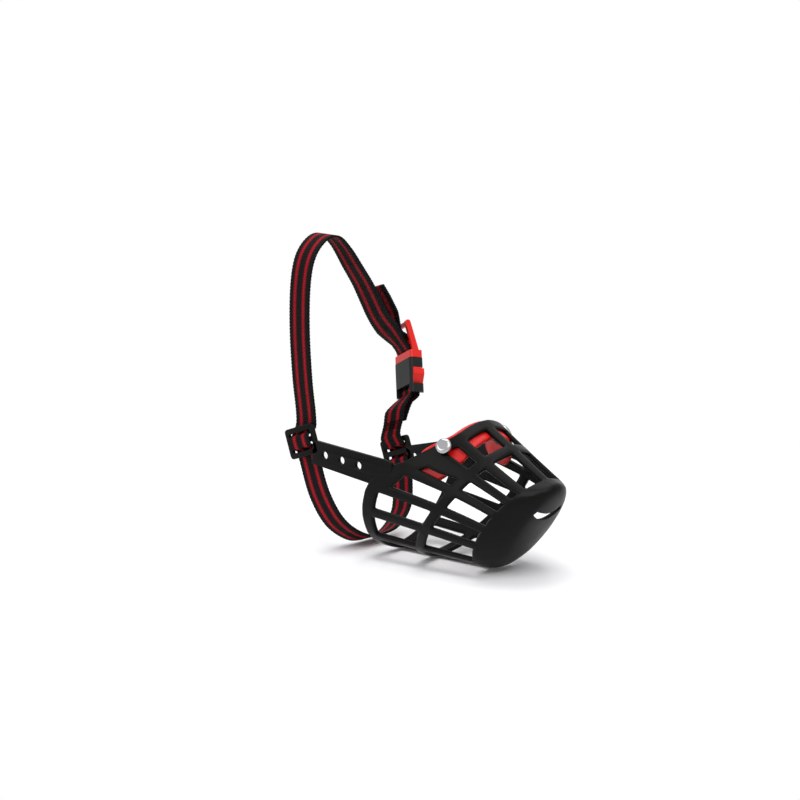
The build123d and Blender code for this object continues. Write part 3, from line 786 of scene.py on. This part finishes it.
@dataclass
class StrapRoute:
    """Where the webbing runs: through both tabs, below the jaw and round the neck, in millimetres."""

    arm_x: float = 47.0
    near_tab: tuple[float, float] = (112.0, 79.0)
    far_tab: tuple[float, float] = (105.0, 57.0)
    tilt: float = 19.5
    slot: float = 4.5
    lift: float = 2.65
    foot: tuple[float, float, float] = (55.3, 100.0, 99.1)
    axis: tuple[float, float, float] = (0.2825, 0.3076, 0.9086)
    out: tuple[float, float, float] = (0.9061, -0.3964, -0.1475)
    across: tuple[float, float, float] = (0.3148, 0.8650, -0.3907)
    frame_foot: tuple[float, float, float] = (64.11, 109.6, 127.45)
    frame_axis: tuple[float, float, float] = (0.0300, 0.4024, 0.9150)
    frame_out: tuple[float, float, float] = (0.9487, -0.2998, 0.1007)
    back_down: tuple[float, float, float] = (-0.1, 0.93, -0.36)

    def tab_width(self) -> Vector:
        """Width direction of the webbing in a tab."""
        t = math.radians(self.tilt)
        return Vector((0, math.cos(t), -math.sin(t)))

    def on_tab_plane(self, x: float, s: float) -> Vector:
        """Point sideways and up along the tab's plane."""
        t = math.radians(self.tilt)
        return Vector((x, self.near_tab[0] + math.sin(t) * s, self.near_tab[1] + math.cos(t) * s))

    def far_drop(self) -> float:
        """How far the far tab lies down the tab's plane."""
        return -math.hypot(self.near_tab[0] - self.far_tab[0], self.near_tab[1] - self.far_tab[1])

    def loop_side(self) -> Vector:
        """Sideways direction of the neck loop's plane."""
        skew = math.atan2(self.near_tab[0] - self.far_tab[0], 2 * self.arm_x)
        return Vector((math.cos(skew), -math.sin(skew), 0))

    def on_loop(self, x: float, z: float) -> Vector:
        """Point in the neck loop's plane."""
        return Vector((0, 0.5 * (self.near_tab[0] + self.far_tab[0]), z)) + self.loop_side() * x

    def on_buckle(self, out: float, up: float) -> Vector:
        """Point beside the buckle's socket."""
        return Vector(self.foot) + Vector(self.out) * out + Vector(self.axis) * up

    def on_frame(self, out: float, up: float) -> Vector:
        """Point beside the buckle's adjuster frame."""
        return Vector(self.frame_foot) + Vector(self.frame_out) * out + Vector(self.frame_axis) * up

    def chin(self) -> list[tuple[Vector, Vector]]:
        """Run below the jaw, with both weaves."""
        x_in, x_out = self.arm_x - self.lift, self.arm_x + self.lift
        far = self.far_drop()
        route = [(-x_in, 5.7), (-x_in - 0.4, self.slot + 0.4), (-self.arm_x, self.slot), (-x_out + 0.3, self.slot - 0.9),
                 (-x_out, 0.0), (-x_out + 0.3, -self.slot + 0.9), (-self.arm_x, -self.slot),
                 (-x_in - 0.3, -self.slot - 0.8), (-x_in, -8.0), (-x_in, -14.0), (-43.3, -40.0), (-35.0, -62.0),
                 (-18.0, -75.6), (0.0, -78.3), (18.0, -75.6), (35.0, -64.0), (43.3, -46.0), (x_in, far - 14.0),
                 (x_in, far - 8.0), (x_in + 0.3, far - self.slot - 0.8), (self.arm_x, far - self.slot),
                 (x_out - 0.3, far - self.slot + 0.9), (x_out, far), (x_out - 0.3, far + self.slot - 0.9),
                 (self.arm_x, far + self.slot), (x_in + 0.4, far + self.slot + 0.4), (x_in, far + 5.7)]
        width = self.tab_width()
        return blend_line([(self.on_tab_plane(x, s), width) for x, s in route], 0.8)

    def neck(self) -> list[tuple[Vector, Vector]]:
        """Run from the near tab over the neck, round the adjuster bar and back to the free end."""
        side = self.loop_side()
        tab, loop = self.tab_width(), Vector((-side.y, side.x, 0))
        across, down = Vector(self.across), Vector(self.back_down)
        line = [(self.on_tab_plane(-46.2, 4.6), tab), (self.on_tab_plane(-44.6, 6.6), tab)]
        over = [(-43.5, 90.0), (-43.75, 101.0), (-46.8, 125.0), (-49.0, 160.0), (-48.0, 192.0), (-43.0, 212.0),
                (-32.0, 223.5), (-20.0, 225.0), (-9.0, 216.0)]
        line += [(self.on_loop(x, z), loop) for x, z in over]
        line += [(Vector((1.0, 106.8, 200.5)), Vector((0, 1, -0.05))),
                 (Vector((12.5, 107.6, 186.4)), Vector((0, 1, -0.12))),
                 (Vector((22.0, 108.8, 173.1)), Vector((0, 1, -0.22))),
                 (Vector((31.6, 110.3, 160.3)), Vector((0, 1, -0.32))), (Vector((43.9, 112.4, 148.9)), down)]
        line += [(self.on_frame(out, up), across) for out, up in (
            (-5.6, 11.6), (-3.15, 5.5), (-2.65, 3.9), (-1.6, 2.1), (0.0, 1.5), (1.6, 2.1), (2.65, 3.9), (2.65, 10.4),
            (-1.4, 13.2), (-5.6, 18.2))]
        line += [(Vector((46.2, 114.1, 158.8)), down), (Vector((34.5, 111.0, 172.0)), down),
                 (Vector((25.5, 109.0, 182.5)), Vector((0, 1, -0.3)))]
        return blend_line(line, 0.8)

    def riser(self) -> list[tuple[Vector, Vector]]:
        """Run from the far tab up round the socket's bar and back down, sewn to itself."""
        far = self.far_drop()
        tab, across = self.tab_width(), Vector(self.across)
        both = (tab + across).normalized()
        line = [(self.on_tab_plane(46.2, far + 4.6), tab), (self.on_tab_plane(44.6, far + 6.6), tab),
                (Vector((43.35, 108.4, 67.9)), tab), (Vector((43.0, 108.2, 71.5)), tab),
                (Vector((41.3, 104.0, 81.0)), tab), (Vector((41.5, 102.5, 89.5)), tab), (Vector((46.0, 101.3, 95.0)), both)]
        line += [(self.on_buckle(out, up), across) for out, up in (
            (-2.25, 0.4), (-2.25, 3.0), (-1.6, 4.4), (0.0, 5.0), (1.6, 4.4), (2.25, 3.0), (2.25, -1.4), (-0.8, -4.6))]
        line += [(Vector((50.3, 101.5, 92.6)), both), (Vector((46.3, 103.0, 86.0)), tab),
                 (Vector((44.9, 104.3, 79.5)), tab)]
        return blend_line(line, 0.8)


@dataclass
class BarTacks:
    """Dense rows of stitches across the webbing, laid along rows by one node tree."""

    heights: tuple[float, ...]
    width: float = 16.0
    pitch: float = 1.35
    length: float = 1.5
    thickness: float = 0.34
    cover: float = 1.0

    def tree(self, material: bpy.types.Material) -> bpy.types.NodeTree:
        """Node tree that lays one row of stitches."""
        tree = bpy.data.node_groups.new("stitch row", "GeometryNodeTree")
        tree.interface.new_socket("Geometry", in_out="OUTPUT", socket_type="NodeSocketGeometry")
        for name, kind in (("Count", "NodeSocketInt"), ("Start", "NodeSocketVector"), ("Step", "NodeSocketVector"),
                           ("Turn", "NodeSocketRotation"), ("Size", "NodeSocketVector")):
            tree.interface.new_socket(name, in_out="INPUT", socket_type=kind)
        given = add_node(tree, "NodeGroupInput")
        row = add_node(tree, "GeometryNodeMeshLine", {
            "Count": given.outputs["Count"], "Start Location": given.outputs["Start"],
            "Offset": given.outputs["Step"]}, mode="OFFSET")
        bead = add_node(tree, "GeometryNodeMeshUVSphere", {"Segments": 8, "Rings": 6, "Radius": 0.5})
        laid = add_node(tree, "GeometryNodeInstanceOnPoints", {
            "Points": row.outputs["Mesh"], "Instance": bead.outputs["Mesh"], "Rotation": given.outputs["Turn"],
            "Scale": given.outputs["Size"]})
        real = add_node(tree, "GeometryNodeRealizeInstances", {"Geometry": laid.outputs["Instances"]})
        coloured = add_node(tree, "GeometryNodeSetMaterial", {"Geometry": real.outputs["Geometry"],
                                                              "Material": material})
        add_node(tree, "NodeGroupOutput", {"Geometry": coloured.outputs["Geometry"]})
        return tree

    def build(self, line: Sequence[tuple[Vector, Vector]], material: bpy.types.Material) -> bpy.types.Object:
        """Stitches on the inner face of a strap.

        Args:
            line: the strap's middle points and width directions, in millimetres.
            material: the thread.

        Returns:
            The finished stitches.
        """
        tree = self.tree(material)
        count = int(self.width / self.pitch)
        rows: list[bpy.types.Object] = []
        first_run = line[:len(line) // 2]
        for height in self.heights:
            index = min(range(1, len(first_run) - 1), key=lambda n: abs(first_run[n][0].z - height))
            p, w = first_run[index]
            along = (first_run[index + 1][0] - first_run[index - 1][0]).normalized()
            face = along.cross(w.normalized())
            face = face if face.x < 0 else -face
            turn = Matrix((along, w.normalized(), along.cross(w.normalized()))).transposed().to_euler()
            start = p + face * self.cover - w.normalized() * (self.pitch * (count - 1) / 2)
            holder = bpy.data.objects.new("stitches", bpy.data.meshes.new("stitches"))
            bpy.context.scene.collection.objects.link(holder)
            modifier = holder.modifiers.new("row", "NODES")
            modifier.node_group = tree
            given = {"Count": count, "Start": start * MM, "Step": w.normalized() * self.pitch * MM, "Turn": turn,
                     "Size": mm(self.length, self.thickness * 2, self.thickness * 2)}
            for item in tree.interface.items_tree:
                if item.name in given and item.in_out == "INPUT":
                    modifier[item.identifier] = given[item.name]
            rows.append(baked(holder))
        return join("bar_tacks", rows, material)


# ---- studio -------------------------------------------------------------------------------------------
@dataclass
class Studio:
    """Floor, lamps, background and camera."""

    azimuth: float = -48.0
    elevation: float = 11.0
    distance: float = 2.0
    aim: tuple[float, float, float] = (0.0, 0.0603, 0.109)
    view_width: float = 0.5714

    def build(self) -> None:
        """Place everything round the object."""
        self.floor()
        self.lamps()
        self.world()
        self.camera()
        bpy.context.scene.view_settings.view_transform = "Standard"

    def floor(self) -> None:
        """Plain pale floor that keeps the object's shadow."""
        half = 0.7
        mesh = mesh_of("floor", [Vector(p) for p in ((-half, -half, 0), (half, -half, 0), (half, half, 0),
                                                     (-half, half, 0))], [(0, 1, 2, 3)])
        material, tree, shader = new_material("painted board, matt white")
        shader.inputs["Base Color"].default_value = linear("#f4f4f6")
        shader.inputs["Roughness"].default_value = 0.7
        place = add_node(tree, "ShaderNodeTexCoord")
        reach = add_node(tree, "ShaderNodeVectorMath", {0: place.outputs["Object"]}, operation="LENGTH")
        fade = add_node(tree, "ShaderNodeMapRange", {"Value": reach.outputs["Value"], "From Min": 0.22,
                                                     "From Max": 0.5, "To Min": 1.0, "To Max": 0.0},
                        interpolation_type="SMOOTHSTEP")
        tree.links.new(fade.outputs["Result"], shader.inputs["Alpha"])
        obj = link_mesh("floor", mesh, material)

    def lamps(self) -> None:
        """Large soft lamps over and beside the object."""
        for name, place, size, watts in (
            ("key", (-0.6, -1.2, 1.9), 1.4, 30.0),
            ("top", (0.3, 0.4, 2.2), 1.8, 26.0),
            ("fill", (-2.0, 0.6, 1.1), 1.4, 12.0),
        ):
            lamp = bpy.data.lights.new(name, "AREA")
            lamp.shape = "SQUARE"
            lamp.size = size
            lamp.energy = watts
            obj = bpy.data.objects.new(name, lamp)
            bpy.context.scene.collection.objects.link(obj)
            obj.location = place
            direction = Vector(self.aim) - Vector(place)
            obj.rotation_euler = direction.to_track_quat("-Z", "Y").to_euler()

    def world(self) -> None:
        """Soft surround that the camera sees as plain white."""
        world = bpy.data.worlds.new("studio")
        bpy.context.scene.world = world
        world.use_nodes = True
        tree = world.node_tree
        tree.nodes.clear()
        path = add_node(tree, "ShaderNodeLightPath")
        soft = add_node(tree, "ShaderNodeBackground", {"Color": linear("#ffffff"), "Strength": 0.5})
        seen = add_node(tree, "ShaderNodeBackground", {"Color": linear("#ffffff"), "Strength": 1.0})
        mirrored = add_node(tree, "ShaderNodeMath", {0: path.outputs["Is Camera Ray"],
                                                     1: path.outputs["Is Glossy Ray"]}, operation="MAXIMUM")
        direct = add_node(tree, "ShaderNodeMath", {0: mirrored.outputs[0], 1: path.outputs["Is Transmission Ray"]},
                          operation="MAXIMUM")
        mix = add_node(tree, "ShaderNodeMixShader", {0: direct.outputs[0], 1: soft.outputs[0], 2: seen.outputs[0]})
        add_node(tree, "ShaderNodeOutputWorld", {"Surface": mix.outputs[0]})

    def camera(self) -> None:
        """Camera at the studio's viewing angle."""
        data = bpy.data.cameras.new("camera")
        data.sensor_width = 36.0
        data.lens = 36.0 * self.distance / self.view_width
        obj = bpy.data.objects.new("camera", data)
        bpy.context.scene.collection.objects.link(obj)
        a, e = math.radians(self.azimuth), math.radians(self.elevation)
        back = Vector((math.sin(a) * math.cos(e), -math.cos(a) * math.cos(e), math.sin(e)))
        obj.location = Vector(self.aim) + back * self.distance
        obj.rotation_mode = "QUATERNION"
        obj.rotation_quaternion = (-back).to_track_quat("-Z", "Y")
        bpy.context.scene.camera = obj


def dress(node: str, material: bpy.types.Material) -> None:
    """Give a CAD node its material."""
    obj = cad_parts[node]
    obj.data.materials.clear()
    obj.data.materials.append(material)
    LOG.info("dressed %s", node)


def join(name: str, objects: Sequence[bpy.types.Object], material: bpy.types.Material) -> bpy.types.Object:
    """Join several meshes into one piece."""
    work = bmesh.new()
    for obj in objects:
        work.from_mesh(obj.data)
    mesh = bpy.data.meshes.new(name)
    work.to_mesh(mesh)
    work.free()
    for obj in objects:
        bpy.data.objects.remove(obj)
    return link_mesh(name, mesh, material)


def main() -> None:
    """Build every piece in order."""
    logging.basicConfig(level=logging.INFO)
    plastic = BASKET_PLASTIC.build()
    webbing = WEBBING.build()
    route = StrapRoute()

    basket = Basket()
    pieces = [basket.build(plastic)]
    for arm in (SideArm(Side.NEAR, *route.near_tab), SideArm(Side.FAR, *route.far_tab)):
        pieces += arm.build(plastic)
    moulding = join("basket_moulding", pieces, plastic)
    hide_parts("basket")
    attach(moulding, "muzzle")
    LOG.info("basket moulding: %d faces", len(moulding.data.polygons))

    pad = NosePad(basket).build(PAD_RUBBER.build())
    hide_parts("nose_pad")
    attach(pad, "muzzle")

    chrome = RIVET_CHROME.build()
    for node in ("rivet_near", "rivet_far", "rivet_washer_near", "rivet_washer_far"):
        dress(node, chrome)

    chin = Webbing("webbing_chin").build(route.chin(), webbing)
    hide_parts("chin_strap")
    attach(chin, "muzzle")
    neck = Webbing("webbing_neck").build(route.neck(), webbing)
    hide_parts("neck_strap")
    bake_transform(neck)
    riser = Webbing("webbing_riser").build(route.riser(), webbing)
    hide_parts("buckle_strap")
    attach(riser, "neck_loop")
    tacks = BarTacks(heights=(75.6, 77.0, 78.4, 79.8, 81.2)).build(route.riser(), THREAD.build())
    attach(tacks, "neck_loop")

    dark, red = BUCKLE_DARK.build(), BUCKLE_RED.build()
    dress("buckle_socket", dark)
    for node in ("buckle_plug", "prong_front", "prong_back"):
        dress(node, red)
    Studio().build()


if __name__ == "__main__":
    main()
